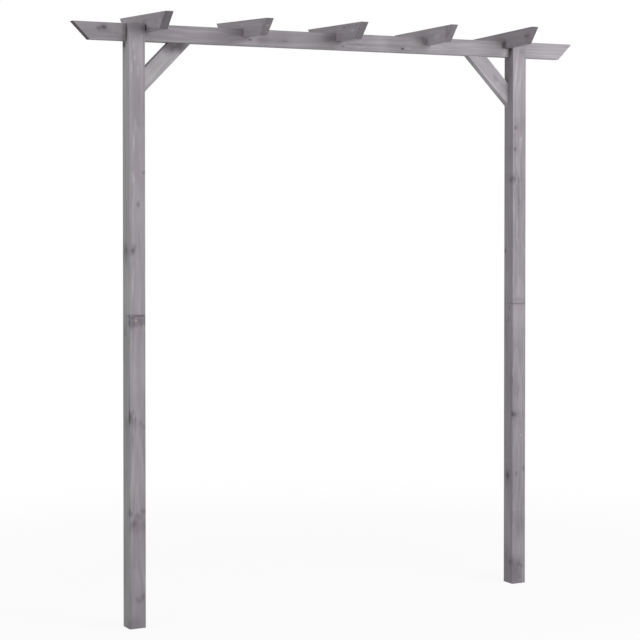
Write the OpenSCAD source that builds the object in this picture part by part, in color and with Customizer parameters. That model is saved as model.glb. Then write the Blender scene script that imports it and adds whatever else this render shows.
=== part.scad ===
// Timber pergola arch: two jointed posts, a jointed beam let into their heads,
// five notched rafters across the beam and two mitred corner braces.
// Millimetres, +Z up. The origin is the middle of the left post's foot,
// +X runs along the beam to the right post, and the front of the arch faces -Y.

/* [Posts] */
// Side of the square posts
post_w = 58; // [45:1:90]
// Distance between the centres of the two posts
post_spacing = 1534; // [900:1:2400]
// Height of the top of the lower post's front tongue
lap_height = 1048; // [600:1:1300]
// Length of the half lap that joins the two lengths of a post
lap_length = 70; // [40:1:150]
// Thickness of the lower post's front tongue in that lap
lap_tongue = 29; // [15:0.5:35]
// Open seam in front of the left post, from that tongue to the upper shoulder
left_seam = 0.5; // [0:0.5:6]
// Open seam in front of the right post, from that tongue to the upper shoulder
right_seam = 0.5; // [0:0.5:6]
// Thickness of the tongue at the head of a post, in front of the beam
head_tongue = 29; // [15:0.5:35]

/* [Beam] */
// Clear height from the ground to the underside of the beam
clear_height = 1964; // [1700:1:2400]
// Depth of the beam, from its underside to its top edge
beam_h = 59; // [45:1:100]
// Thickness of the beam, from front to back
beam_t = 29; // [20:0.5:45]
// Reach of the beam's top edge past the outer face of the left post
left_overhang = 186; // [120:1:400]
// Reach of the beam's top edge past the outer face of the right post
right_overhang = 227; // [120:1:400]
// Length that the slanted cut at each end takes off the beam's underside
beam_cut = 59; // [0:1:110]
// Length of the half lap that joins the two halves of the beam
beam_lap = 57; // [30:1:120]
// Thickness of the left half's front tongue in that lap
beam_tongue = 14.5; // [8:0.5:18]
// Open seam in front, at the end of the left half's tongue
beam_seam = 0.5; // [0:0.5:4]

/* [Rafters] */
// Length of a rafter along its top edge
rafter_len = 394; // [240:1:700]
// Depth of a rafter, from its lower edge to its top edge
rafter_h = 57; // [45:1:100]
// Thickness of a rafter
rafter_t = 30; // [20:1:45]
// Length that the slanted cut at each end takes off a rafter's lower edge
rafter_cut = 50; // [0:1:100]
// Gap between the left post's head and the first rafter
first_gap = 6.4; // [0.3:0.1:40]
// How much wider than even spacing each of the first three gaps is
gap_gain = 7.1; // [-20:0.1:20]
// How much further to the front than the others the last rafter lies
last_slide = 11; // [-40:1:40]
// Depth of the notch that drops rafter 1 over the beam
notch_1 = 25; // [10:0.5:40]
// Depth of rafter 2's notch
notch_2 = 28.5; // [10:0.5:40]
// Depth of rafter 3's notch
notch_3 = 29; // [10:0.5:40]
// Depth of rafter 4's notch
notch_4 = 28.5; // [10:0.5:40]
// Depth of rafter 5's notch
notch_5 = 27.5; // [10:0.5:40]
// Height of rafter 1's front end above its back end, as it rocks on the beam
rise_1 = -8; // [-25:1:25]
// Height of rafter 2's front end above its back end
rise_2 = -13; // [-25:1:25]
// Height of rafter 3's front end above its back end
rise_3 = -4; // [-25:1:25]
// Height of rafter 4's front end above its back end
rise_4 = 9; // [-25:1:25]
// Height of rafter 5's front end above its back end
rise_5 = 18; // [-25:1:25]

/* [Braces] */
// Width of a brace across its face
brace_w = 58; // [40:1:90]
// Thickness of a brace
brace_t = 28; // [18:0.5:29]
// Distance from the corner of post and beam to the brace's upper edge
brace_leg = 98; // [60:1:260]

/* [Finish] */
// Width of the eased edge along every length of timber
arris = 1.5; // [0.5:0.5:4]
// Clearance between pieces that slide over or along each other
fit_gap = 0.3; // [0:0.1:0.5]

/* [Hidden] */

// Colours of the stained timber
post_grey = "#99959a";
beam_grey = "#8f8b90";
rafter_grey = "#7d787d";
brace_grey = "#a9a5a9";

// How far a cutting shape runs past the timber that it cuts
past = 10;

// Planes that the joints share. Y is 0 in the middle of the posts.
left_x = 0;
right_x = post_spacing;
post_front = -post_w / 2;
lap_cheek = post_front + lap_tongue;
lap_foot = lap_height - lap_length;
beam_front = post_front + head_tongue;
beam_back = beam_front + beam_t;
beam_top = clear_height + beam_h;
beam_left = left_x - post_w / 2 - left_overhang;
beam_right = right_x + post_w / 2 + right_overhang;
beam_middle = (beam_left + beam_right) / 2;
beam_cheek = beam_front + beam_tongue;
rafter_first = left_x + post_w / 2 + first_gap + rafter_t / 2;
rafter_last = right_x - post_w / 2 - fit_gap - rafter_t / 2;
rafter_gap = (rafter_last - rafter_first) / 4 + gap_gain;
rises = [rise_1, rise_2, rise_3, rise_4, rise_5];
notches = [notch_1, notch_2, notch_3, notch_4, notch_5];
seat_middle = (beam_front + beam_back) / 2;
brace_front = beam_front + (beam_t - brace_t) / 2;
// Length of post and of beam that a brace's mitred end covers
brace_foot = brace_w * sqrt(2);

// Section of a length of timber: a rectangle with its corners eased
function eased(width, height) = [
    [arris, 0], [width - arris, 0], [width, arris], [width, height - arris],
    [width - arris, height], [arris, height], [0, height - arris], [0, arris]];

// Length of timber standing on z = 0 with its section centred on the Z axis
module upright(width, length)
    translate([-width / 2, -width / 2, 0])
        linear_extrude(length) polygon(eased(width, width));

// Board from x = 0 along +X, its front at y = 0 and its lower edge at z = 0
module board_along_x(length, thickness, height)
    rotate([90, 0, 90]) linear_extrude(length) polygon(eased(thickness, height));

// Plate from y = 0 along +Y, whose outline is drawn in X and Z
module plate_in_xz(outline, thickness)
    translate([0, thickness, 0]) rotate([90, 0, 0])
        linear_extrude(thickness) polygon(outline);

// Box between two corners
module block(low, high)
    translate(low) cube(high - low);

// Box across the whole width of the post at x, between two depths and two heights
module post_cut(x, depths, heights)
    block([x - post_w / 2 - past, depths[0], heights[0]],
          [x + post_w / 2 + past, depths[1], heights[1]]);

// Lower length of a post: its upper end is cut away behind the front tongue
module post_lower(x)
    difference() {
        translate([x, 0, 0]) upright(post_w, lap_height);
        post_cut(x, [lap_cheek, -post_front + past], [lap_foot, lap_height + past]);
    }

// Upper length of a post: a rear tongue below, and a front tongue at the head
// beside the notch that the beam rests in
module post_upper(x, seam)
    difference() {
        translate([x, 0, lap_foot]) upright(post_w, beam_top - lap_foot);
        post_cut(x, [post_front - past, lap_cheek], [lap_foot - past, lap_height + seam]);
        post_cut(x, [beam_front, -post_front + past], [clear_height, beam_top + past]);
    }

// Whole beam, with both ends cut on a slant so that the top edge is the longer
module beam_blank()
    translate([beam_left, beam_front, clear_height])
        intersection() {
            board_along_x(beam_right - beam_left, beam_t, beam_h);
            plate_in_xz([[beam_cut, 0], [beam_right - beam_left - beam_cut, 0],
                         [beam_right - beam_left, beam_h], [0, beam_h]], beam_t);
        }

// Part of the beam between two places in X and two depths in Y
module beam_part(from_x, to_x, from_y, to_y)
    intersection() {
        beam_blank();
        block([from_x, from_y, clear_height - past], [to_x, to_y, beam_top + past]);
    }

lap_left = beam_middle - beam_lap / 2;
lap_right = beam_middle + beam_lap / 2;

// Left half of the beam: its front tongue runs on past the middle
module beam_left_half()
    union() {
        beam_part(beam_left, lap_left, beam_front, beam_back);
        beam_part(lap_left, lap_right, beam_front, beam_cheek);
    }

// Right half of the beam: its rear tongue runs back behind that tongue
module beam_right_half()
    union() {
        beam_part(lap_right + beam_seam, beam_right, beam_front, beam_back);
        beam_part(lap_left, lap_right + beam_seam, beam_cheek, beam_back);
    }

// Rafter lying level across the Y axis, with the roof of its notch at z = 0
module rafter_blank(notch)
    translate([rafter_t / 2, -rafter_len / 2, -notch]) rotate([0, 0, 90])
        intersection() {
            board_along_x(rafter_len, rafter_t, rafter_h);
            plate_in_xz([[rafter_cut, 0], [rafter_len - rafter_cut, 0],
                         [rafter_len, rafter_h], [0, rafter_h]], rafter_t);
        }

// Rafter number 1 to 5 from the left, rocked on its seat and notched square to the
// beam. The last one lies against the head of the right post.
module rafter(number) {
    x = number < 5 ? rafter_first + (number - 1) * rafter_gap : rafter_last;
    rock = asin(rises[number - 1] / rafter_len);
    slide = number < 5 ? 0 : last_slide;
    difference() {
        translate([x, seat_middle, beam_top]) rotate([-rock, 0, 0])
            translate([0, -slide, 0]) rafter_blank(notches[number - 1]);
        block([x - rafter_t, beam_front - fit_gap, clear_height],
              [x + rafter_t, beam_back + fit_gap, beam_top]);
    }
}

// Brace in the corner at x = 0: mitred to the post's face and to the beam's
// underside, rising to the right
module brace()
    translate([0, brace_front, clear_height])
        intersection() {
            plate_in_xz([[0, -brace_leg - brace_foot], [0, -brace_leg], [brace_leg, 0],
                         [brace_leg + brace_foot, 0]], brace_t);
            translate([-past, 0, -brace_leg - brace_foot - past]) rotate([0, -45, 0])
                board_along_x((brace_leg + brace_foot + 2 * past) * sqrt(2), brace_t, brace_w);
        }

module left_brace() color(brace_grey) translate([left_x + post_w / 2, 0, 0]) brace();
module right_brace() color(brace_grey)
    translate([right_x - post_w / 2, 0, 0]) mirror([1, 0, 0]) brace();

module left_post_lower() color(post_grey) post_lower(left_x);
module left_post_upper() color(post_grey) post_upper(left_x, left_seam);
module right_post_lower() color(post_grey) post_lower(right_x);
module right_post_upper() color(post_grey) post_upper(right_x, right_seam);
module left_beam() color(beam_grey) beam_left_half();
module right_beam() color(beam_grey) beam_right_half();
module rafter_node(number) color(rafter_grey) rafter(number);

left_post_lower();
left_post_upper();
right_post_lower();
right_post_upper();
left_beam();
right_beam();
rafter_node(1);  // rafter_1
rafter_node(2);  // rafter_2
rafter_node(3);  // rafter_3
rafter_node(4);  // rafter_4
rafter_node(5);  // rafter_5
left_brace();
right_brace();
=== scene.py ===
import bpy
import bmesh
import math
import random
from mathutils import Euler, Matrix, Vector


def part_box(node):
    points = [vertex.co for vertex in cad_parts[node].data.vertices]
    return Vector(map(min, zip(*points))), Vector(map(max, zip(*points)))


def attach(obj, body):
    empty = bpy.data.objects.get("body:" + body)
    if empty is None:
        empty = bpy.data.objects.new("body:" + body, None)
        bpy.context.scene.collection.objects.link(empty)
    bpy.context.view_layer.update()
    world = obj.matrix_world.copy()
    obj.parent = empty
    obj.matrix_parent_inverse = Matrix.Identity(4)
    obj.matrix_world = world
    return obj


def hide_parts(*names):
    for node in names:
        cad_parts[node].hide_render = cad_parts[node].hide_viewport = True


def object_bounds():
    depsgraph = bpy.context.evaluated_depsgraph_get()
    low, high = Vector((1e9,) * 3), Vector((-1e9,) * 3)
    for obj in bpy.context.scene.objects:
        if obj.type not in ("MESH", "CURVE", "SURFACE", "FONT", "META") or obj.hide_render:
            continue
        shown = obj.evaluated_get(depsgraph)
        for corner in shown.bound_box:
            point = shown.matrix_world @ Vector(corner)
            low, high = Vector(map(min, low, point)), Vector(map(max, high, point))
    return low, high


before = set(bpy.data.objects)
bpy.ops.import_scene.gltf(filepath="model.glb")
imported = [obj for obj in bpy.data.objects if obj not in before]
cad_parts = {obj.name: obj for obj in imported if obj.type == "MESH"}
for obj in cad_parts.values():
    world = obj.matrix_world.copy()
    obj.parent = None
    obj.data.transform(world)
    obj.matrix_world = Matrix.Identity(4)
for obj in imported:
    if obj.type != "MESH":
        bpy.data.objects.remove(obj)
cadLow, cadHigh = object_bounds()
print("frame loaded:", len(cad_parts), "solids")


def selectNothing():
    bpy.ops.object.select_all(action="DESELECT")


def selectOnly(piece):
    selectNothing()
    piece.select_set(True)
    bpy.context.view_layer.objects.active = piece


def applyPlace():
    # takes the active object's place, turn and scale into its mesh
    bpy.ops.object.transform_apply(location=True, rotation=True, scale=True)


cameraValues = {
    "place": (-2.3614, -5.7074, 1.4384),  # metres, in front and to the left of the arch
    "tilt": 0.995,       # degrees down
    "turn": 28.258,      # degrees to the right of straight ahead
    "sensor": 36,        # mm wide
    "lens": 103.34,      # mm
    "lift": -0.14,       # vertical shift that frames the feet as well as the head
    "farthest": 200,     # metres that it sees
}


def addCamera(values):
    selectNothing()
    bpy.ops.object.camera_add(location=values["place"])
    camera = bpy.context.active_object
    camera.name = "archCamera"
    camera.rotation_euler = (math.radians(90 - values["tilt"]), 0, -math.radians(values["turn"]))
    camera.data.sensor_width = values["sensor"]
    camera.data.lens = values["lens"]
    camera.data.shift_y = values["lift"]
    camera.data.clip_end = values["farthest"]
    bpy.context.scene.camera = camera


addCamera(cameraValues)
print("camera placed")


def startTimber(name, low, high):
    # a plain length of timber between two corners, left open in edit mode
    selectNothing()
    low, high = Vector(low), Vector(high)
    bpy.ops.mesh.primitive_cube_add(size=1, location=(low + high) / 2, scale=high - low)
    timber = bpy.context.active_object
    timber.name = name
    timber.data.name = name
    applyPlace()
    bpy.ops.object.mode_set(mode="EDIT")
    return timber


def copyTimber(master, name, move=(0, 0, 0), turn=(0, 0, 0), scale=(1, 1, 1)):
    # a copy with a mesh of its own, its place and turn taken into the mesh
    timber = master.copy()
    timber.data = master.data.copy()
    timber.name = name
    timber.data.name = name
    bpy.context.scene.collection.objects.link(timber)
    selectOnly(timber)
    timber.location, timber.rotation_euler, timber.scale = move, turn, scale
    applyPlace()
    return timber


faced = 0.9          # share of its normal from which a face counts as facing a way
near = 0.001         # metres within which a corner counts as lying on a plane


def pick(timber, kind, wanted):
    # leaves only the wanted faces, edges or corners selected
    bpy.ops.mesh.select_mode(type=kind)
    bpy.ops.mesh.select_all(action="DESELECT")
    shape = bmesh.from_edit_mesh(timber.data)
    for part in {"FACE": shape.faces, "EDGE": shape.edges, "VERT": shape.verts}[kind]:
        if wanted(part):
            part.select_set(True)
    if kind == "VERT":
        shape.select_flush(True)
    bmesh.update_edit_mesh(timber.data)


def pickFaces(timber, wanted):
    # wanted looks at a face's middle and at its normal
    pick(timber, "FACE", lambda face: wanted(face.calc_center_median(), face.normal))


def sawAcross(place, normal):
    bpy.ops.mesh.select_all(action="SELECT")
    bpy.ops.mesh.bisect(plane_co=place, plane_no=normal)


def sawOff(place, normal):
    bpy.ops.mesh.select_all(action="SELECT")
    bpy.ops.mesh.bisect(plane_co=place, plane_no=normal, use_fill=True, clear_outer=True)


def drawOut(timber, wanted, move):
    pickFaces(timber, wanted)
    bpy.ops.mesh.extrude_region_move(TRANSFORM_OT_translate={"value": move})


def slantEnd(timber, wanted, move):
    # slides the corners at one end so that the end becomes a slanted cut
    pick(timber, "VERT", lambda corner: wanted(corner.co))
    bpy.ops.transform.translate(value=move)


def cutWith(piece, cutter, name):
    cut = piece.modifiers.new(name, "BOOLEAN")
    cut.operation = "DIFFERENCE"
    cut.object = cutter
    selectOnly(piece)
    bpy.ops.object.modifier_apply(modifier=cut.name)
    bpy.data.objects.remove(cutter)


edgeValues = {
    "arris": 0.0022,     # radius that the planer leaves along the grain, metres
    "sawn": 0.0006,      # softness of the sawn ends
    "steps": 3,
    "corner": 0.5,       # radians between two faces from which their edge is eased
    "along": 0.95,       # share of an edge's length that has to run along the timber
    "flat": 0.5,         # degrees under which two faces are one
    "same": 0.00002,     # metres under which two corners are one
    "smooth": 50,        # degrees up to which two faces shade as one
}


def cleanTimber():
    # leaves one face on each flat side, facing outwards
    bpy.ops.mesh.select_all(action="SELECT")
    bpy.ops.mesh.dissolve_limited(angle_limit=math.radians(edgeValues["flat"]))
    bpy.ops.mesh.select_all(action="SELECT")
    bpy.ops.mesh.remove_doubles(threshold=edgeValues["same"])
    bpy.ops.mesh.normals_make_consistent(inside=False)


def shadeFlatFaces(timber):
    # the eased edges shade round and the broad faces stay flat
    bpy.ops.object.shade_smooth_by_angle(angle=math.radians(edgeValues["smooth"]))
    flat = timber.modifiers.new("flatFaces", "WEIGHTED_NORMAL")
    flat.keep_sharp = True
    flat.weight = 100
    bpy.ops.object.modifier_apply(modifier=flat.name)


def easeEdges(timber, along, sawn=edgeValues["sawn"]):
    # planed arrises run along the timber, sawn edges across it, inner corners stay sharp
    along = Vector(along).normalized()

    def isOuter(edge):
        if len(edge.link_faces) != 2 or not edge.is_convex:
            return False
        return edge.calc_face_angle(0) > edgeValues["corner"]

    def runsAlong(edge):
        way = (edge.verts[1].co - edge.verts[0].co).normalized()
        return abs(way.dot(along)) > edgeValues["along"]

    if timber.mode != "EDIT":
        bpy.ops.object.mode_set(mode="EDIT")
    cleanTimber()
    pick(timber, "EDGE", lambda edge: isOuter(edge) and runsAlong(edge))
    bpy.ops.transform.edge_bevelweight(value=1.0)
    pick(timber, "EDGE", lambda edge: isOuter(edge) and not runsAlong(edge))
    bpy.ops.transform.edge_bevelweight(value=sawn / edgeValues["arris"])
    bpy.ops.object.mode_set(mode="OBJECT")
    ease = timber.modifiers.new("easedEdges", "BEVEL")
    ease.limit_method = "WEIGHT"
    ease.width = edgeValues["arris"]
    ease.segments = edgeValues["steps"]
    ease.use_clamp_overlap = True
    bpy.ops.object.modifier_apply(modifier=ease.name)
    shadeFlatFaces(timber)


def seat(timber, node):
    bpy.context.view_layer.update()
    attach(timber, "root")
    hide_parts(node)


def centreOf(node):
    low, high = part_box(node)
    return (low + high) / 2


postValues = {
    "tongue": 0.029,     # half of the post, at the lap and at the head
    "seam": 0.0005,      # hairline in front, between the two lengths of a post
}


def lowerPost(name, node, upperNode):
    low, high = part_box(node)
    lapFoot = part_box(upperNode)[0].z
    cheek = low.y + postValues["tongue"]
    timber = startTimber(name, low, (high.x, high.y, lapFoot))
    sawAcross((0, cheek, 0), (0, 1, 0))
    drawOut(timber, lambda at, way: way.z > faced and at.y < cheek, (0, 0, high.z - lapFoot))
    easeEdges(timber, (0, 0, 1))
    return timber


def upperPost(name, node, lowerNode, beamNode):
    low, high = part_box(node)
    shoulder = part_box(lowerNode)[1].z + postValues["seam"]
    cheek = low.y + postValues["tongue"]
    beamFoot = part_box(beamNode)[0].z
    timber = startTimber(name, (low.x, low.y, shoulder), (high.x, high.y, beamFoot))
    sawAcross((0, cheek, 0), (0, 1, 0))
    drawOut(timber, lambda at, way: way.z < -faced and at.y > cheek, (0, 0, low.z - shoulder))
    drawOut(timber, lambda at, way: way.z > faced and at.y < cheek, (0, 0, high.z - beamFoot))
    easeEdges(timber, (0, 0, 1))
    return timber


# both posts are made alike, so the right one is a copy of the left one
timbers = {}
postSpacing = (centreOf("right_post_lower").x - centreOf("left_post_lower").x, 0, 0)
timbers["leftPostLower"] = lowerPost("leftPostLower", "left_post_lower", "left_post_upper")
timbers["leftPostUpper"] = upperPost("leftPostUpper", "left_post_upper", "left_post_lower", "left_beam")
for part in ("Lower", "Upper"):
    left, right = "leftPost" + part, "rightPost" + part
    timbers[right] = copyTimber(timbers[left], right, move=postSpacing)
    seat(timbers[left], "left_post_" + part.lower())
    seat(timbers[right], "right_post_" + part.lower())
print("posts jointed")


beamValues = {
    "slant": 0.059,      # what the slanted ends take off the underside
    "tongue": 0.0145,    # front tongue of the left half in the middle lap
    "seam": 0.0002,      # hairline in front at the end of that tongue
    "sawn": 0.0002,      # crisp saw cuts, so that the lap hardly shows
}


def beamHalf(name, node, shoulder, lapWay):
    # lapWay is 1 where the lap is the right end and in front, -1 where it is the left end and behind
    low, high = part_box(node)
    cheek = low.y + beamValues["tongue"]
    outer, tip = (low.x, high.x) if lapWay > 0 else (high.x, low.x)
    fromX, toX = min(outer, shoulder), max(outer, shoulder)
    timber = startTimber(name, (fromX, low.y, low.z), (toX, high.y, high.z))
    sawAcross((0, cheek, 0), (0, 1, 0))
    drawOut(timber, lambda at, way: way.x * lapWay > faced and (cheek - at.y) * lapWay > 0,
            (tip - shoulder, 0, 0))
    slantEnd(timber, lambda co: abs(co.x - outer) < near and co.z < low.z + near,
             (beamValues["slant"] * lapWay, 0, 0))
    easeEdges(timber, (1, 0, 0), beamValues["sawn"])
    seat(timber, node)
    return timber


lapLeft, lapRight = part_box("right_beam")[0].x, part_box("left_beam")[1].x
timbers["leftBeam"] = beamHalf("leftBeam", "left_beam", lapLeft, 1)
timbers["rightBeam"] = beamHalf("rightBeam", "right_beam", lapRight + beamValues["seam"], -1)
print("beam lapped")


# lists go from the leftmost rafter to the rightmost
rafterValues = {
    "length": 0.394,
    "depth": 0.057,
    "slant": 0.050,      # what the slanted ends take off the lower edge
    "notch": (0.025, 0.0285, 0.029, 0.0285, 0.0275),  # how far each one drops over the beam
    "slide": (0, 0, 0, 0, 0.011),  # how far each one lies forward of the middle of its seat
    "rise": (-0.008, -0.013, -0.004, 0.009, 0.018),  # each front end above its back end
    "gap": 0.0003,       # play between the notch and the beam
    "cutter": 0.1,       # width of the block that cuts a notch, wider than a rafter is thick
}
rafterNumbers = range(1, len(rafterValues["notch"]) + 1)


def rafterRock(number):
    return math.asin(rafterValues["rise"][number - 1] / rafterValues["length"])


def rafterSeat(number):
    # middle of the beam's top edge, under the rafter
    beamLow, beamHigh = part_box("left_beam")
    return Vector((centreOf("rafter_%d" % number).x, (beamLow.y + beamHigh.y) / 2, beamHigh.z))


def rafterPoint(number, forward, up):
    # place on a rocked rafter, counted from the middle of its lower edge
    rock = rafterRock(number)
    out = rafterValues["slide"][number - 1] + forward
    rise = up - rafterValues["notch"][number - 1]
    return rafterSeat(number) + Vector((0, rise * math.sin(rock) - out * math.cos(rock),
                                        rise * math.cos(rock) + out * math.sin(rock)))


def rafterBoard(node):
    # one level board with its middle and its lower edge at the origin
    low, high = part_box(node)
    thick, reach, slant = (high.x - low.x) / 2, rafterValues["length"] / 2, rafterValues["slant"]
    board = startTimber("rafterBoard", (-thick, -reach, 0), (thick, reach, rafterValues["depth"]))
    slantEnd(board, lambda co: co.z < near and co.y < 0, (0, slant, 0))
    slantEnd(board, lambda co: co.z < near and co.y > 0, (0, -slant, 0))
    bpy.ops.object.mode_set(mode="OBJECT")
    return board


def cutNotch(timber, middle):
    # cut square to the beam, however the rafter rocks
    beamLow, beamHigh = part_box("left_beam")
    half, gap = rafterValues["cutter"] / 2, rafterValues["gap"]
    low = Vector((middle.x - half, beamLow.y - gap, beamLow.z))
    high = Vector((middle.x + half, beamHigh.y + gap, beamHigh.z))
    selectNothing()
    bpy.ops.mesh.primitive_cube_add(size=1, location=(low + high) / 2, scale=high - low)
    cutWith(timber, bpy.context.active_object, "notch")


def rafter(board, number):
    timber = copyTimber(board, "rafter%d" % number, move=rafterPoint(number, 0, 0),
                        turn=(-rafterRock(number), 0, 0))
    cutNotch(timber, rafterSeat(number))
    easeEdges(timber, (0, 1, 0))
    seat(timber, "rafter_%d" % number)
    return timber


board = rafterBoard("rafter_1")
for number in rafterNumbers:
    timbers["rafter%d" % number] = rafter(board, number)
bpy.data.objects.remove(board)
print("rafters notched")


braceValues = {
    "width": 0.058,      # across the face of the brace
}


def braceLength(name, node):
    # laid at 45 degrees from the post up to the beam, then mitred to both
    low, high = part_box(node)
    reach = high.x - low.x
    half = Vector((braceValues["width"] / 2, (high.y - low.y) / 2, reach))
    timber = startTimber(name, -half, half)
    bpy.ops.object.mode_set(mode="OBJECT")
    # its middle line lies half of its width below the edge that faces the corner
    leg = reach - braceValues["width"] * math.sqrt(2)
    offset = (leg + reach) / 4
    timber.rotation_euler = (0, math.radians(45), 0)
    timber.location = (low.x + offset, (low.y + high.y) / 2, high.z - offset)
    applyPlace()
    bpy.ops.object.mode_set(mode="EDIT")
    sawOff((low.x, 0, 0), (-1, 0, 0))
    sawOff((0, 0, high.z), (0, 0, 1))
    bpy.ops.object.mode_set(mode="OBJECT")
    return timber


# the right brace is the left one turned over
timbers["leftBrace"] = braceLength("leftBrace", "left_brace")
timbers["rightBrace"] = copyTimber(timbers["leftBrace"], "rightBrace", scale=(-1, 1, 1),
                                   move=(centreOf("left_brace").x + centreOf("right_brace").x, 0, 0))
easeEdges(timbers["rightBrace"], (-1, 0, 1))
seat(timbers["rightBrace"], "right_brace")
selectNothing()
bpy.context.view_layer.objects.active = timbers["leftBrace"]
easeEdges(timbers["leftBrace"], (1, 0, 1))
seat(timbers["leftBrace"], "left_brace")
print("braces mitred")


screwValues = {
    "sides": 24,
    "head": 0.0040,      # radius of a countersunk head
    "thick": 0.002,
    "proud": 0.0002,     # how far the head's rim stands above the stained face
    "rim": 0.0006,       # width of that rim
    "crown": 0.0002,     # rise of the middle above the rim
    "arm": 0.0050,       # length of each arm of the cross recess
    "slot": 0.0018,      # width of an arm
    "recess": 0.0011,    # depth of the recess
    "turns": (20, 110),  # degrees that its two arms are turned
    "smooth": 35,        # degrees up to which two faces shade as one
    "lap": ((-0.007, 0.019), (0.021, 0.040)),  # across from the middle of the post, down from the seam
    "back": ((0.009, 0.018), (-0.009, 0.043)),  # through the beam into the head of a post: across, up
}


def screwHead(values):
    # modelled once with its face up the Z axis, then copied
    selectNothing()
    bpy.ops.mesh.primitive_cylinder_add(
        vertices=values["sides"], radius=values["head"], depth=values["thick"],
        location=(0, 0, values["proud"] - values["thick"] / 2), end_fill_type="NGON")
    head = bpy.context.active_object
    head.name = "screwHead"
    applyPlace()
    bpy.ops.object.mode_set(mode="EDIT")
    pickFaces(head, lambda at, way: way.z > faced)
    bpy.ops.mesh.inset(thickness=values["rim"])
    bpy.ops.transform.translate(value=(0, 0, values["crown"]))
    bpy.ops.object.mode_set(mode="OBJECT")
    for turn in values["turns"]:
        selectNothing()
        bpy.ops.mesh.primitive_cube_add(
            size=1, location=(0, 0, 0), rotation=(0, 0, math.radians(turn)),
            scale=(values["arm"], values["slot"], values["recess"] * 2))
        cutWith(head, bpy.context.active_object, "recess")
    bpy.ops.object.shade_smooth_by_angle(angle=math.radians(values["smooth"]))
    return head


def driveScrew(head, name, place, facing):
    turn = Vector(facing).to_track_quat("Z", "Y").to_euler()
    screw = copyTimber(head, name, move=place, turn=turn)
    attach(screw, "root")
    return screw


def driveAllScrews(head):
    driven = []
    for side in ("left", "right"):
        low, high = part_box("%s_post_lower" % side)
        beamLow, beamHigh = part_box("%s_beam" % side)
        middle = (low.x + high.x) / 2
        for count, (across, down) in enumerate(screwValues["lap"]):
            driven.append(driveScrew(head, "%sLapScrew%d" % (side, count + 1),
                                     (middle + across, low.y, high.z - down), (0, -1, 0)))
        for count, (across, up) in enumerate(screwValues["back"]):
            driven.append(driveScrew(head, "%sHeadScrew%d" % (side, count + 1),
                                     (middle + across, beamHigh.y, beamLow.z + up), (0, 1, 0)))
    for number in rafterNumbers:
        # down through the rafter's top edge into the beam, square to that edge
        upright = Vector((0, math.sin(rafterRock(number)), math.cos(rafterRock(number))))
        top = rafterPoint(number, -rafterValues["slide"][number - 1], rafterValues["depth"])
        driven.append(driveScrew(head, "rafterScrew%d" % number, top, upright))
    return driven


head = screwHead(screwValues)
screws = driveAllScrews(head)
bpy.data.objects.remove(head)
print("screws driven:", len(screws))


def srgb(code):
    # sRGB hex to linear colour
    parts = [int(code[i:i + 2], 16) / 255 for i in (1, 3, 5)]
    return [p / 12.92 if p <= 0.04045 else ((p + 0.055) / 1.055) ** 2.4 for p in parts] + [1.0]


def newMaterial(name):
    material = bpy.data.materials.new(name)
    material.use_nodes = True
    material.node_tree.nodes.clear()
    return material


def addNode(tree, kind, inputs=(), out=0, **settings):
    # inputs are values or other nodes' sockets, in socket order or by name
    node = tree.nodes.new("ShaderNode" + kind)
    for key, value in settings.items():
        setattr(node, key, value)
    for socket, value in (inputs.items() if isinstance(inputs, dict) else enumerate(inputs)):
        if isinstance(value, bpy.types.NodeSocket):
            tree.links.new(value, node.inputs[socket])
        else:
            node.inputs[socket].default_value = value
    return node.outputs[out] if node.outputs else node


def setRamp(ramp, stops):
    # a new ramp already has its first and its last stop
    ramp.elements[0].position, ramp.elements[0].color = stops[0]
    ramp.elements[1].position, ramp.elements[1].color = stops[-1]
    for position, colour in stops[1:-1]:
        ramp.elements.new(position).color = colour


# settings of a Map Range node whose ends are soft
softEnds = {"interpolation_type": "SMOOTHSTEP"}
# settings and sockets of a Mix node for colours, whose names repeat those for numbers
mixColours = {"out": 2, "data_type": "RGBA"}
mixShare, mixFirst, mixSecond = 0, 6, 7


# Softwood fence timber, planed and dipped in a thin grey stain. Spring wood drinks the
# stain and goes darker, the hard summer wood stays paler, sawn ends and knots go darkest.
stainValues = {
    # tone 0 is the darkest knot and 1 the palest bare wood
    "tones": [(0.0, "#2b282b"), (0.2, "#4e4a4e"), (0.4, "#716c71"), (0.6, "#938e93"),
              (0.8, "#b3afb3"), (1.0, "#d2cfd2")],
    "plain": "#feffff",      # tint where the stain lies thin
    "mauve": "#fffcff",      # tint where it lies thick
    "bleached": "#f9fffa",   # tint of the side that gets the weather
    "knot": "#5a5054",       # brown-grey of a stained knot
    # how much the tone changes over a ring, between fibres, streaks and blotches, in a check
    "ring": 0.085,
    "fibre": 0.15,
    "streak": 0.19,
    "blotch": 0.14,
    "check": 0.13,
    "checkWidth": 0.006,     # as a share of its pattern
    "ringShares": (0.3, 1.6),  # of the change over a ring, where rings are faint and bold
    "wear": (0.2, 1.3),      # shares of the change at the arrises, where stain is thin and thick
    "markDepth": 14,         # mm that a streak or patch reaches into the wood
    "markFade": (0.15, 1.15),  # radii over which it fades
    "markFine": 5,           # mm under which its outline stays straight
    "markWander": (10, 10, 32),  # mm that its outline wanders, across and along the timber
    "knotWander": (5, 5, 10),
    "arrisWidth": (0.6, 4.0),  # mm from an arris over which its wear or soaking fades
    "roughness": (0.60, 0.80),
    "ringGloss": -0.35,      # how far late wood makes the surface smoother
    "glossRange": (0.05, 0.6),
    "bending": 1.48,         # refractive index of the stain
}
ringValues = {
    "width": 6.5,            # mm between growth rings, about twice the real width so that it shows
    "drift": 2.6,            # widths that the rings stray from even spacing
    "driftPerMm": 0.045,     # how fast they stray
    "bend": 26,              # mm that the rings wander along a timber
    # how pale the wood is at places across a ring: broad dark early wood, narrow pale late wood
    "levels": [(0.0, 0.30), (0.35, 0.36), (0.62, 0.52), (0.80, 0.86), (0.92, 0.95), (1.0, 0.32)],
}
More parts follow.
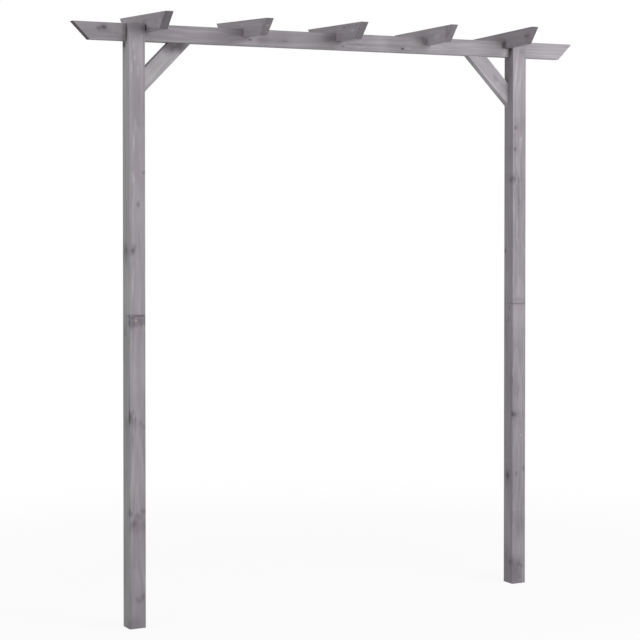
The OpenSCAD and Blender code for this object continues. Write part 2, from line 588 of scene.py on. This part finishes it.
# size of each pattern in mm across and along the timber, and its steps of finer detail
grainSizes = {
    "outline": (20, 55, 3),  # wandering outlines of knots and marks
    "bend": (80, 520, 2),    # wandering rings
    "clear": (30, 260, 2),   # places where the rings show clearly
    "fibre": (2.8, 95, 4),   # coarser than real fibres, which would not show
    "streak": (12, 260, 3),  # thicker stain
    "blotch": (60, 210, 3),  # patches where the dip dried unevenly
    "check": (13, 520, 2),   # drying checks
    "checked": (60, 300, 1),  # stretches that have them
    "tint": (40, 320, 2),
}
# values of a pattern, or of how far a face is turned, over which its effect fades in
fades = {
    "clear": (0.32, 0.68),
    "streak": (0.35, 0.6),
    "checked": (0.58, 0.66),
    "tint": (0.35, 0.65),
    "sawn": (0.35, 0.6),
    "aged": (0.4, 0.8),
}
middleValue = 0.5            # that the patterns keep near
knotValues = {
    "length": 1.4,           # along the grain, in radii
    "reach": 3.5,            # into the wood, in radii
    # radii over which each part fades, and its strength as a share of the knot's own
    "swell": (0.6, 2.6, 0.7),  # rings that bend round it
    "core": (0.2, 1.25, 1),
    "halo": (0.9, 2.8, 0.3),  # stained wood round it
    "rim": (0.85, 0.22, 0.12),  # bark: radii to its middle and half its width, and strength
    "brown": 1.6,            # how fast it turns brown with its depth of tone
    "grain": (0.9, 0.55),    # how much its depth varies with the fibres, and its least
}
reliefValues = {
    # how far each stands up, as a share of the height
    "fibre": 0.9,
    "ring": 0.35,
    "check": -1.2,
    "knot": 1.5,
    "strength": 0.45,
    "height": 0.0005,        # metres
}


def turnOf(look):
    # turns the timber's own length to the Z axis
    return Euler([math.radians(a) for a in look["turn"]])


def placed(look, kind):
    # knots or marks, listed by face, as a place in mm and what else their row says
    across, deep = look["half"]
    rows = look.get(kind, {})
    found = [((x, -deep, z), *rest) for x, z, *rest in rows.get("front", [])]
    found += [((x, deep, z), *rest) for x, z, *rest in rows.get("back", [])]
    found += [((-across, y, z), *rest) for y, z, *rest in rows.get("left", [])]
    found += [((across, y, z), *rest) for y, z, *rest in rows.get("right", [])]
    found += [((x, y, z), *rest) for x, y, z, *rest in rows.get("elsewhere", [])]
    return found


def grainNoise(tree, wood, pattern, noise, out=0):
    # noise drawn out along the timber; its values keep near 0.5
    across, along, detail = grainSizes[pattern]
    place = [noise.uniform(-40, 40) for k in range(3)]
    at = addNode(tree, "Mapping", [wood, place, (0, 0, 0), (1 / across, 1 / across, 1 / along)])
    return addNode(tree, "TexNoise", {"Vector": at, "Scale": 1.0, "Detail": detail, "Roughness": 0.55}, out)


def featureDistance(tree, field, look, place, across, along, depth):
    # 1 on the outline of a knot or mark at a place, with its depth into the wood
    inside = turnOf(look).to_matrix() @ Vector(place)
    radii = (across, depth, along)
    if abs(inside.x) / look["half"][0] > abs(inside.y) / look["half"][1]:
        radii = (depth, across, along)
    at = addNode(tree, "Mapping", [field, [-c / r for c, r in zip(inside, radii)], (0, 0, 0),
                                   [1 / r for r in radii]])
    return addNode(tree, "VectorMath", [at], "Value", operation="LENGTH")


def alongTimber(tree, look):
    # millimetres, with Z along the timber and the origin in the middle of its section
    turn = turnOf(look)
    origin = turn.to_matrix() @ (Vector(look["origin"]) * 1000)
    objectAt = addNode(tree, "TexCoord", out="Object")
    return addNode(tree, "Mapping", [objectAt, -origin, turn, (1000, 1000, 1000)])


def wandering(tree, wood, noise):
    # outlines of marks wander, those of knots only a little
    uneven = grainNoise(tree, wood, "outline", noise, out="Color")
    fields = []
    for size in (stainValues["markWander"], stainValues["knotWander"]):
        moved = addNode(tree, "VectorMath", [uneven, size, wood], operation="MULTIPLY_ADD")
        half = [s / 2 for s in size]
        fields.append(addNode(tree, "VectorMath", [moved, half], operation="SUBTRACT"))
    return fields


def pithDistance(tree, wood, look, noise):
    # growth rings lie round a pith beside the section, leaning a little to the length
    lean = [math.radians(a) for a in look["lean"]] + [0]
    at = addNode(tree, "Mapping", [wood, (-look["pith"][0], -look["pith"][1], 0), lean, (1, 1, 1)])
    bend = grainNoise(tree, wood, "bend", noise, out="Color")
    size = (ringValues["bend"], ringValues["bend"], 0)
    at = addNode(tree, "VectorMath", [bend, size, at], operation="MULTIPLY_ADD")
    at = addNode(tree, "VectorMath", [at, (1, 1, 0)], operation="MULTIPLY")
    return addNode(tree, "VectorMath", [at], "Value", operation="LENGTH")


def fading(tree, far, part, strength):
    # full strength in the middle of a knot and none outside that part of it
    start, end, share = knotValues[part]
    return addNode(tree, "MapRange", [far, start, end, strength * share, 0], **softEnds)


def growKnots(tree, knotted, look, radius):
    # the rings bend round each knot; core, rim and halo hold the strongest knot at a point
    core, rim, halo = 0.0, 0.0, 0.0
    for place, size, depth in placed(look, "knots"):
        far = featureDistance(tree, knotted, look, place, size, size * knotValues["length"],
                              size * knotValues["reach"])
        swell = fading(tree, far, "swell", size)
        radius = addNode(tree, "Math", [radius, swell], operation="ADD")
        core = addNode(tree, "Math", [core, fading(tree, far, "core", depth)], operation="MAXIMUM")
        halo = addNode(tree, "Math", [halo, fading(tree, far, "halo", depth)], operation="MAXIMUM")
        middle, half, share = knotValues["rim"]
        bark = addNode(tree, "Math", [far, middle, half], operation="COMPARE")
        bark = addNode(tree, "Math", [bark, depth * share], operation="MULTIPLY")
        rim = addNode(tree, "Math", [rim, bark], operation="MAXIMUM")
    return radius, core, rim, halo


def growthRings(tree, radius):
    # the rings vary in width
    drift = addNode(tree, "Math", [radius, ringValues["driftPerMm"]], operation="MULTIPLY")
    drift = addNode(tree, "TexNoise", {"W": drift, "Scale": 1.0, "Detail": 2.0}, noise_dimensions="1D")
    phase = addNode(tree, "Math", [radius, 1 / ringValues["width"]], operation="MULTIPLY")
    phase = addNode(tree, "Math", [drift, ringValues["drift"], phase], operation="MULTIPLY_ADD")
    phase = addNode(tree, "Math", [phase], operation="FRACT")
    rings = addNode(tree, "ValToRGB", [phase])
    rings.node.color_ramp.interpolation = "EASE"
    stops = [(position, (level, level, level, 1)) for position, level in ringValues["levels"]]
    setRamp(rings.node.color_ramp, stops)
    return rings


def dippedTone(tree, wood, look, rings, noise):
    # the rings show clearly in some places and hardly in others; fibres and stain lie over them
    values = stainValues
    clear = grainNoise(tree, wood, "clear", noise)
    shares = [share * values["ring"] for share in values["ringShares"]]
    clear = addNode(tree, "MapRange", [clear, *fades["clear"], *shares], **softEnds)
    base = look["tone"] - (values["fibre"] + values["streak"] + values["blotch"]) / 2
    tone = addNode(tree, "Math", [rings, middleValue], operation="SUBTRACT")
    tone = addNode(tree, "Math", [tone, clear, base], operation="MULTIPLY_ADD")
    patterns = {}
    for name in ("fibre", "streak", "blotch"):
        patterns[name] = grainNoise(tree, wood, name, noise)
        tone = addNode(tree, "Math", [patterns[name], values[name], tone], operation="MULTIPLY_ADD")
    return tone, patterns["fibre"], patterns["streak"]


def addMarksAndPaintedShading(tree, wood, wander, look, tone):
    # paler and darker patches: streaks where the dip ran, patches darker towards the foot of a post,
    # painted shade in corners and under parts, and painted light beside them; only the broad ones wander
    for place, across, along, change in placed(look, "marksAndPaintedShading"):
        field = wander if min(across, along) > stainValues["markFine"] else wood
        far = featureDistance(tree, field, look, place, across, along, stainValues["markDepth"])
        patch = addNode(tree, "MapRange", [far, *stainValues["markFade"], change, 0], **softEnds)
        tone = addNode(tree, "Math", [tone, patch], operation="ADD")
    return tone


def darkenKnots(tree, fibre, core, rim, halo, tone):
    # the grain runs faintly through the core
    grained = addNode(tree, "Math", [fibre, *knotValues["grain"]], operation="MULTIPLY_ADD")
    grained = addNode(tree, "Math", [grained, core], operation="MULTIPLY")
    for part in (grained, rim, halo):
        tone = addNode(tree, "Math", [tone, part], operation="SUBTRACT")
    return tone


def wearArrises(tree, wood, streak, look, tone):
    # arrises are worn or soaked, in places
    section = (look["half"][0], look["half"][1], 0)
    inset = addNode(tree, "VectorMath", [wood], operation="ABSOLUTE")
    inset = addNode(tree, "VectorMath", [section, inset], operation="SUBTRACT")
    parts = addNode(tree, "SeparateXYZ", [inset]).node
    arris = addNode(tree, "Math", [parts.outputs["X"], parts.outputs["Y"]], operation="MAXIMUM")
    arris = addNode(tree, "MapRange", [arris, *stainValues["arrisWidth"], look["arris"], 0], **softEnds)
    worn = addNode(tree, "MapRange", [streak, *fades["streak"], *stainValues["wear"]])
    return addNode(tree, "Math", [arris, worn, tone], operation="MULTIPLY_ADD")


def dryingChecks(tree, wood, noise):
    # hairlines along the grain, only in some places
    check = grainNoise(tree, wood, "check", noise)
    check = addNode(tree, "Math", [check, middleValue, stainValues["checkWidth"]], operation="COMPARE")
    where = grainNoise(tree, wood, "checked", noise)
    where = addNode(tree, "MapRange", [where, *fades["checked"], 0, 1], **softEnds)
    return addNode(tree, "Math", [check, where], operation="MULTIPLY")


def soakEnds(tree, facing, look, tone):
    # sawn end grain soaks up stain
    along = turnOf(look).to_matrix().inverted() @ Vector((0, 0, 1))
    sawn = addNode(tree, "VectorMath", [facing, along], "Value", operation="DOT_PRODUCT")
    sawn = addNode(tree, "Math", [sawn], operation="ABSOLUTE")
    sawn = addNode(tree, "MapRange", [sawn, *fades["sawn"], 0, look["sawn"]], **softEnds)
    return addNode(tree, "Math", [tone, sawn], operation="ADD", use_clamp=True)


def stainTint(tree, wood, facing, look, noise):
    # a little mauve where the stain lies thick, plain grey where it is thin or bleached
    tint = grainNoise(tree, wood, "tint", noise)
    tint = addNode(tree, "MapRange", [tint, *fades["tint"], *look["mauve"]], **softEnds)
    tint = addNode(tree, "Mix", {mixShare: tint, mixFirst: srgb(stainValues["plain"]),
                                 mixSecond: srgb(stainValues["mauve"])}, **mixColours)
    if "aged" in look:
        weather = addNode(tree, "VectorMath", [facing, look["aged"]], "Value", operation="DOT_PRODUCT")
        weather = addNode(tree, "MapRange", [weather, *fades["aged"], 0, 1], **softEnds)
        tint = addNode(tree, "Mix", {mixShare: weather, mixFirst: tint,
                                     mixSecond: srgb(stainValues["bleached"])}, **mixColours)
    return tint


def stainColour(tree, tone, tint, core, look):
    # tones to colours, which the tint shifts and knots turn browner
    colour = addNode(tree, "ValToRGB", [tone])
    setRamp(colour.node.color_ramp, [(level, srgb(code)) for level, code in stainValues["tones"]])
    colour = addNode(tree, "Mix", {mixShare: 1.0, mixFirst: colour, mixSecond: tint},
                     blend_type="MULTIPLY", **mixColours)
    if "knots" in look:
        brown = addNode(tree, "Math", [core, knotValues["brown"]], operation="MULTIPLY", use_clamp=True)
        colour = addNode(tree, "Mix", {mixShare: brown, mixFirst: colour,
                                       mixSecond: srgb(stainValues["knot"])}, **mixColours)
    return colour


def fibreRelief(tree, fibre, rings, check, core):
    # fibres, late wood and knots stand up, and checks are open
    values = reliefValues
    height = addNode(tree, "Math", [fibre, values["fibre"]], operation="MULTIPLY")
    for part, name in ((rings, "ring"), (check, "check"), (core, "knot")):
        height = addNode(tree, "Math", [part, values[name], height], operation="MULTIPLY_ADD")
    return addNode(tree, "Bump", {"Height": height, "Strength": values["strength"],
                                  "Distance": values["height"]})


def greyStainedSoftwood(name, look):
    # the order of these calls sets what each pattern draws from the timber's own seed
    material = newMaterial(name)
    tree = material.node_tree
    noise = random.Random(look["seed"])
    wood = alongTimber(tree, look)
    facing = addNode(tree, "TexCoord", out="Normal")
    wander, knotted = wandering(tree, wood, noise)
    radius = pithDistance(tree, wood, look, noise)
    radius, core, rim, halo = growKnots(tree, knotted, look, radius)
    rings = growthRings(tree, radius)
    tone, fibre, streak = dippedTone(tree, wood, look, rings, noise)
    tone = addMarksAndPaintedShading(tree, wood, wander, look, tone)
    if "knots" in look:
        tone = darkenKnots(tree, fibre, core, rim, halo, tone)
    tone = wearArrises(tree, wood, streak, look, tone)
    check = dryingChecks(tree, wood, noise)
    tone = addNode(tree, "Math", [check, -stainValues["check"], tone], operation="MULTIPLY_ADD")
    tone = soakEnds(tree, facing, look, tone)
    tint = stainTint(tree, wood, facing, look, noise)
    colour = stainColour(tree, tone, tint, core, look)
    values = stainValues
    rough = addNode(tree, "Math", [rings, values["ringGloss"], fibre], operation="MULTIPLY_ADD")
    rough = addNode(tree, "MapRange", [rough, *values["glossRange"], *values["roughness"]])
    bump = fibreRelief(tree, fibre, rings, check, core)
    surface = addNode(tree, "BsdfPrincipled",
                      {"Base Color": colour, "Roughness": rough, "IOR": values["bending"], "Normal": bump})
    addNode(tree, "OutputMaterial", [surface])
    return material


def braceMiddle(node, leanSign):
    # middle of the brace's own middle line
    low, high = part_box(node)
    offset = (high.x - low.x) / 2 - braceValues["width"] * math.sqrt(2) / 4
    foot = low.x if leanSign > 0 else high.x
    return (foot + leanSign * offset, (low.y + high.y) / 2, high.z - offset)


# What a look says of its timber, in degrees, mm and steps of tone.
# tone: how pale the stain is on the whole. sawn, arris: how much paler the sawn ends and the
# arrises are. mauve: least and most share of the mauve tint. aged: the way that the bleached
# side faces. turn: what brings the timber's length to the Z axis. origin: the middle of its
# section, in metres. half: half of that section. pith: where the heart of the tree lay,
# beside the section. lean: how the heart leans to the length.
postLeft, postRight = centreOf("left_post_lower").x, centreOf("right_post_lower").x
postLook = dict(
    turn=(0, 0, 0), half=(29, 29), lean=(0.7, -0.5), sawn=-0.2, arris=0.02, mauve=(0, 0.7))
beamLook = dict(
    turn=(0, -90, 0), half=(29.5, 14.5), lean=(0.4, 0.6), sawn=-0.42, arris=-0.05, mauve=(0.1, 0.9),
    origin=(0, *centreOf("left_beam").yz))
braceLook = dict(beamLook, half=(29, 14), arris=0.02, mauve=(0, 0.7))

# Knots and marks are listed by the face that shows them, as one stands before the arch. Marks hold
# stain and also painted shade and painted light, noted beside their rows. A row is the place on
# the face, level and then up, and for a knot its radius and depth of tone, or for a mark its reach
# across the grain and along it and its change of tone. A row that lies elsewhere has its place in
# all three directions. Places are counted up from the ground on posts, along from the left post on
# the beam, and otherwise from the timber's middle.
looks = {
    "leftPostUpper": dict(
        postLook, seed=11, tone=0.665, origin=(postLeft, 0, 0), pith=(-6, 46), aged=(-1, 0, 0),
        mauve=(0.5, 1),
        knots={"front": [(22, 1525, 4, 0.13), (4, 1418, 5, 0.13), (-17, 1266, 7, 0.2)],
               "back": [(10, 1690, 9, 0.2)],
               "left": [(-3, 1264, 9, 0.13)],
               "right": [(-6, 1340, 8, 0.2)]},
        # the first two front rows are painted shadow that rafter 1 casts on the head of the post
        marksAndPaintedShading={"front": [(0, 2006, 50, 26, -0.09), (20, 2000, 14, 20, -0.1), (-3, 1958, 4, 16, 0.08),
                         (-13, 1950, 4, 24, 0.14), (-9, 1907, 4, 11, 0.18), (-20, 1874, 4, 30, 0.15),
                         (3, 1862, 6, 28, 0.09), (0, 1725, 50, 80, -0.02), (-12, 1625, 3, 34, 0.16),
                         (-15, 1511, 6, 28, 0.13), (-4, 1280, 9, 8, -0.07), (-12, 1196, 4, 28, 0.08),
                         (-17, 1150, 4.5, 72, 0.16), (0, 1110, 50, 80, 0.02), (0, 1051, 120, 3, -0.08)],
               # the first three left rows are painted shade on the side of the head, where the beam shades
               # it, and just under the beam
               "left": [(0, 2010, 40, 60, -0.16), (-8, 1987, 9, 44, -0.36), (13, 1951, 18, 15, -0.34),
                        (0, 1840, 40, 240, 0.05), (6, 1258, 36, 52, -0.13), (0, 1125, 40, 80, 0.04),
                        (6, 990, 2.5, 12, -0.12), (0, 985, 40, 60, -0.09)]}),
    "leftPostLower": dict(
        postLook, seed=12, tone=0.65, origin=(postLeft, 0, 0), pith=(10, 40), arris=-0.04,
        aged=(-1, 0, 0), mauve=(0.6, 1),
        knots={"back": [(-6, 830, 8, 0.2)],
               "right": [(4, 520, 9, 0.2)]},
        marksAndPaintedShading={"front": [(0, 1045, 120, 6.5, -0.19), (0, 1026, 90, 23, -0.17), (-27.5, 1026, 3, 26, -0.1),
                         (27.5, 1026, 3, 26, -0.1), (-21, 960, 4.5, 50, 0.08), (2, 880, 50, 110, 0.05),
                         (-15, 830, 11, 140, 0.05), (-15, 725, 6, 14, -0.09), (-8, 698, 7, 12, -0.1),
                         (-4, 688, 26, 26, -0.05), (10, 687, 9, 10, -0.08), (22, 672, 9, 14, -0.1),
                         (-15, 663, 4, 20, 0.08), (-17, 520, 9, 120, 0.06), (2, 500, 50, 90, 0.03),
                         (20, 393, 15, 15, -0.13), (2, 374, 18, 15, -0.13), (-16, 352, 16, 15, -0.12),
                         (0, 342, 50, 28, -0.08), (18, 108, 13, 14, -0.12), (2, 96, 15, 13, -0.12),
                         (0, 50, 50, 110, -0.04), (-4, 12, 36, 42, -0.08)],
               "left": [(-26, 750, 3, 76, -0.15), (-25, 708, 8, 32, -0.34), (-8, 688, 30, 26, -0.07),
                        (-25, 391, 8, 20, -0.26), (0, 200, 50, 330, -0.03), (17, 200, 3, 220, -0.07),
                        (-18, 10, 18, 34, -0.1)]}),
    "rightPostUpper": dict(
        postLook, seed=13, tone=0.612, origin=(postRight, 0, 0), pith=(4, 44),
        knots={"front": [(-16, 1701, 7, 0.14), (-22, 1676, 4, 0.1), (-19, 1622, 7, 0.13),
                         (-25, 1512, 8, 0.13)],
               "left": [(-16, 1506, 7, 0.12), (20, 1244, 6, 0.18)],
               "right": [(5, 1440, 8, 0.2)]},
        marksAndPaintedShading={"front": [(12, 1986, 13, 13, -0.15), (12, 1986, 6, 7, 0.2), (0, 1880, 50, 130, 0.08),
                         (12, 1840, 5, 70, -0.05), (0, 1718, 40, 36, -0.04), (9, 1661, 5, 10, 0.1),
                         (5, 1650, 9, 30, 0.07), (-18, 1530, 5, 7, -0.12), (-14, 1496, 4, 5, 0.12),
                         (-3, 1488, 4, 5, 0.1), (-20, 1484, 3, 4, 0.1), (-6, 1480, 40, 80, -0.08),
                         (-12, 1420, 5, 7, -0.06), (1, 1420, 4, 6, -0.06), (0, 1360, 50, 130, -0.03),
                         (-8, 1331, 6, 60, 0.08), (0, 1275, 40, 60, -0.04), (0, 1060, 120, 9, -0.05)],
               # the first two left rows are painted shade: on the side of the head under rafter 5, and
               # where the beam and brace shade the top of the side
               "left": [(-10, 1990, 12, 32, -0.4), (0, 1920, 40, 70, -0.07), (0, 1875, 30, 60, 0.02),
                        (0, 1600, 50, 420, 0.02), (0, 1125, 40, 70, 0.03), (0, 985, 40, 60, -0.04)]}),
    "rightPostLower": dict(
        postLook, seed=14, tone=0.622, origin=(postRight, 0, 0), pith=(-8, 42), arris=-0.03,
        knots={"back": [(4, 600, 9, 0.2)],
               "left": [(-8, 1032, 4, 0.12), (-1, 987, 5, 0.15), (3, 402, 9, 0.22), (-16, 80, 8, 0.12)],
               "elsewhere": [(-28, -27, 635, 6, 0.2)]},
        marksAndPaintedShading={"front": [(0, 1046, 120, 5, -0.09), (0, 1000, 50, 60, 0.06), (0, 860, 50, 60, -0.04),
                         (0, 680, 50, 60, 0.04), (-22, 625, 10, 60, -0.07), (8, 554, 3.5, 5, 0.2),
                         (21, 429, 9, 16, -0.13), (-11, 416, 9, 12, -0.13), (4, 351, 5, 7, -0.07),
                         (-27, 262, 4, 14, -0.08), (0, 225, 50, 50, -0.05), (-24, 215, 5, 14, 0.07),
                         (0, 215, 50, 80, -0.03), (-1, 67, 10, 9, -0.13), (13, 61, 8, 9, -0.13),
                         (-10, 50, 24, 60, -0.06), (0, 40, 50, 90, -0.09), (20, 40, 12, 50, 0.08),
                         (4, 24, 10, 6, -0.09)],
               "left": [(18, 930, 12, 90, -0.04), (-22, 720, 10, 150, -0.06), (6, 600, 40, 500, -0.03),
                        (0, 395, 40, 60, -0.06), (-22, 280, 10, 220, -0.07), (0, 60, 50, 120, -0.1)]}),
    "leftBeam": dict(
        beamLook, seed=15, tone=0.63, pith=(18, 52),
        knots={"front": [(-106, 13, 8, 0.2)]},
        # painted light at -60 and -44 beside the head of the left post; painted shade at 42 in the corner
        # by rafter 1, at 432 under rafter 2 and at 740 left of rafter 3
        marksAndPaintedShading={"front": [(-150, 0, 40, 90, -0.03), (-122, 9, 9, 8, -0.18), (-114, 8, 14, 24, -0.07),
                         (-60, 0, 40, 30, 0.04), (-44, 0, 40, 16, 0.1), (42, 10, 14, 14, -0.14),
                         (45, -20, 14, 16, 0.06), (300, -10, 40, 60, -0.03), (432, -7, 5, 9, -0.32),
                         (452, -6, 3, 14, 0.08), (458, 5, 4, 26, 0.08), (482, -8, 22, 34, -0.11),
                         (545, 0, 40, 70, -0.08), (566, -8, 5, 14, -0.09), (740, 8, 20, 26, -0.09),
                         (790, 0, 40, 50, -0.07), (798, -16, 5, 9, -0.2)]}),
    "rightBeam": dict(
        beamLook, seed=16, tone=0.63, pith=(-14, 50), mauve=(0, 0.55),
        marksAndPaintedShading={"front": [(816, -17, 8, 14, 0.08), (825, 0, 50, 40, -0.08), (832, -3, 4, 16, 0.06),
                         (900, 0, 50, 60, -0.06), (1020, 0, 50, 70, -0.1), (1044, -15, 5, 10, -0.42),
                         (1068, -12, 5, 16, 0.09), (1180, -4, 3, 60, 0.06), (1260, 0, 50, 60, -0.03),
                         # the row at 1488 is painted light beside the head of the right post
                         (1488, 0, 40, 16, 0.15), (1510, 0, 50, 80, 0.11), (1690, 0, 50, 120, 0.07)]}),
    "leftBrace": dict(
        braceLook, seed=27, tone=0.75, turn=(0, -45, 0), origin=braceMiddle("left_brace", 1),
        pith=(6, 48),
        marksAndPaintedShading={"front": [(-50, -50, 40, 40, 0.09), (26, 58, 34, 36, -0.3), (55, 66, 36, 36, -0.28),
                         (86, 60, 36, 36, -0.33)]}),
    "rightBrace": dict(
        braceLook, seed=28, tone=0.67, turn=(0, 45, 0), origin=braceMiddle("right_brace", -1),
        pith=(-8, 50),
        knots={"back": [(10, -8, 7, 0.2)]},
        marksAndPaintedShading={"front": [(50, -50, 40, 40, -0.07)],
               # the row elsewhere is painted light on the underside, standing in for light thrown up from
               # the floor
               "elsewhere": [(-20.5, 0, -20.5, 20, 120, 0.2)]}),
}
rafterLook = dict(half=(15, 28.5), lean=(1.2, 0.8), arris=-0.06, mauve=(0.2, 1))
rafterLooks = {
    1: dict(
        seed=31, tone=0.62, sawn=-0.235, pith=(-9, 38),
        knots={"right": [(70, 6, 7, 0.2)]},
        marksAndPaintedShading={"left": [(-172, 0, 60, 14, -0.06), (-118, -4, 14, 22, -0.07), (-110, -25, 7, 40, -0.06),
                        (-50, -22, 8, 40, -0.13), (40, 0, 40, 22, -0.05), (150, 0, 40, 50, 0.06)],
               "elsewhere": [(3, -180, 20, 8, 16, 0.08)]}),
    2: dict(
        seed=32, tone=0.63, sawn=-0.175, pith=(7, -42),
        # the row at -18, -14 is painted shade in the corner by the beam
        marksAndPaintedShading={"left": [(-172, 0, 60, 14, -0.05), (-28, 0, 8, 6, -0.07), (-18, -14, 16, 12, -0.18),
                        (-8, 14, 10, 8, 0.1), (20, 6, 18, 6, -0.1)],
               "elsewhere": [(4, -176, -2, 8, 20, 0.08)]}),
    3: dict(
        seed=33, tone=0.61, sawn=-0.19, pith=(-12, 44),
        marksAndPaintedShading={"left": [(-160, 14, 10, 8, -0.06), (-136, 0, 10, 12, 0.09), (-110, 18, 6, 18, -0.08),
                        (-72, 16, 6, 14, -0.13), (10, -2, 6, 30, -0.07)]}),
    4: dict(
        seed=34, tone=0.655, sawn=-0.21, pith=(10, -36),
        knots={"right": [(-80, 2, 6, 0.2)]},
        # the row at -30, -18 is painted shade in the corner by the beam
        marksAndPaintedShading={"left": [(-176, -4, 40, 24, -0.09), (-168, 18, 18, 6, -0.17), (-100, -5, 16, 34, 0.08),
                        (-30, -18, 22, 20, -0.19), (95, 0, 40, 80, 0.08)]}),
    5: dict(
        seed=35, tone=0.585, sawn=-0.195, pith=(-6, 40),
        # the row at -18, -16 is painted shade in the corner by the beam
        marksAndPaintedShading={"left": [(-172, 0, 40, 36, -0.07), (-163, 8, 9, 15, -0.13), (-134, 8, 9, 9, 0.05),
                        (-18, -16, 22, 18, -0.32), (95, 0, 40, 80, 0.07)]}),
}
for number, look in rafterLooks.items():
    looks["rafter%d" % number] = dict(
        rafterLook, turn=(90 + math.degrees(rafterRock(number)), 0, 0),
        origin=rafterPoint(number, 0, rafterValues["depth"] / 2), **look)
for name, look in looks.items():
    timbers[name].data.materials.clear()
    timbers[name].data.materials.append(greyStainedSoftwood("greyStainedSoftwood_" + name, look))
print("stain on", len(looks), "timbers")


# Zinc-plated steel screws, passivated: dull grey metal, a little yellow, brighter in worn patches.
steelValues = {
    "dull": "#8f8b84",
    "worn": "#c3bfb4",
    "cloud": 700.0,          # about 1.4 mm from one dull patch to the next
    "patches": (0.35, 0.68),  # values of the cloud pattern where it is dull and where it is worn
    "roughRange": (0.3, 0.7),
    "roughness": (0.32, 0.55),
    "strength": 0.2,
    "relief": 0.0001,        # metres
}


def platedSteel(name):
    material = newMaterial(name)
    tree = material.node_tree
    at = addNode(tree, "TexCoord", out="Object")
    cloud = addNode(tree, "TexNoise", {"Vector": at, "Scale": steelValues["cloud"], "Detail": 3.0})
    colour = addNode(tree, "ValToRGB", [cloud])
    colours = [srgb(steelValues[name]) for name in ("dull", "worn")]
    setRamp(colour.node.color_ramp, list(zip(steelValues["patches"], colours)))
    rough = addNode(tree, "MapRange", [cloud, *steelValues["roughRange"], *steelValues["roughness"]])
    bump = addNode(tree, "Bump", {"Height": cloud, "Strength": steelValues["strength"],
                                  "Distance": steelValues["relief"]})
    surface = addNode(tree, "BsdfPrincipled",
                      {"Base Color": colour, "Metallic": 1.0, "Roughness": rough, "Normal": bump})
    addNode(tree, "OutputMaterial", [surface])
    return material


steel = platedSteel("zincPlatedSteel")
for screw in screws:
    screw.data.materials.clear()
    screw.data.materials.append(steel)
print("zinc on", len(screws), "screws")


stageValues = {
    "size": 60,              # metres along each side of the floor
    "floor": "#ececec",      # pale painted studio floor, which lights the undersides
    "whiteness": 0.9,        # how far the camera sees it as white beside the arch
    "reach": (0.9, 3.2),     # metres over which it fades into the white backdrop
    "white": (1, 1, 1, 1),
    "world": 0.44,           # strength of the light from all round
    # place, aim, side in metres, watts
    "keySoftBox": ((2.16, -2.96, 2.67), (0.78, 0, 1.15), 2.0, 39.4),
    "nearSoftBox": ((2.1, -2.2, 2.2), (1.3, 0, 1.5), 1.8, 19.6),
    "sideSoftBox": ((-2.12, -0.51, 3.22), (0.78, 0, 1.15), 2.4, 27.0),
}


def seenBy(tree, rays):
    # 1 for rays of any of these kinds
    path = addNode(tree, "LightPath").node
    seen = path.outputs[rays[0]]
    for ray in rays[1:]:
        seen = addNode(tree, "Math", [seen, path.outputs[ray]], operation="MAXIMUM")
    return seen


def floorPaint(name, values, middle):
    # matt floor paint: soft bounce and a soft shadow, white to the camera further out
    material = newMaterial(name)
    tree = material.node_tree
    at = addNode(tree, "TexCoord", out="Object")
    at = addNode(tree, "VectorMath", [at, (middle.x, middle.y, 0)], operation="SUBTRACT")
    away = addNode(tree, "VectorMath", [at], "Value", operation="LENGTH")
    share = addNode(tree, "MapRange", [away, *values["reach"], values["whiteness"], 1.0], **softEnds)
    seen = seenBy(tree, ["Is Camera Ray", "Is Glossy Ray", "Is Transmission Ray"])
    share = addNode(tree, "Math", [share, seen], operation="MULTIPLY")
    paint = addNode(tree, "BsdfDiffuse", [srgb(values["floor"])])
    white = addNode(tree, "Emission", [values["white"], 1.0])
    mixed = addNode(tree, "MixShader", [share, paint, white])
    addNode(tree, "OutputMaterial", [mixed])
    return material


def addFloor(values):
    selectNothing()
    middle = (cadLow + cadHigh) / 2
    bpy.ops.mesh.primitive_plane_add(size=values["size"], location=(middle.x, middle.y, 0))
    floor = bpy.context.active_object
    floor.name = "studioFloor"
    applyPlace()
    floor.data.materials.append(floorPaint("studioFloorPaint", values, middle))


def addWorld(values):
    # soft light from all round, which the camera sees as white
    world = bpy.data.worlds.new("studioWorld")
    bpy.context.scene.world = world
    world.use_nodes = True
    tree = world.node_tree
    tree.nodes.clear()
    seen = seenBy(tree, ["Is Camera Ray", "Is Transmission Ray"])
    soft = addNode(tree, "Background", [values["white"], values["world"]])
    white = addNode(tree, "Background", [values["white"], 1.0])
    mixed = addNode(tree, "MixShader", [seen, soft, white])
    addNode(tree, "OutputWorld", [mixed])


def addSoftBox(name, place, aim, side, watts):
    selectNothing()
    bpy.ops.object.light_add(type="AREA", location=place)
    lamp = bpy.context.active_object
    lamp.name = name
    lamp.data.shape = "SQUARE"
    lamp.data.size = side
    lamp.data.energy = watts
    lamp.visible_camera = False
    lamp.rotation_euler = (Vector(aim) - Vector(place)).to_track_quat("-Z", "Y").to_euler()


addFloor(stageValues)
addWorld(stageValues)
for name in ("keySoftBox", "nearSoftBox", "sideSoftBox"):
    addSoftBox(name, *stageValues[name])
bpy.context.scene.view_settings.view_transform = "Standard"
print("floor and light set")
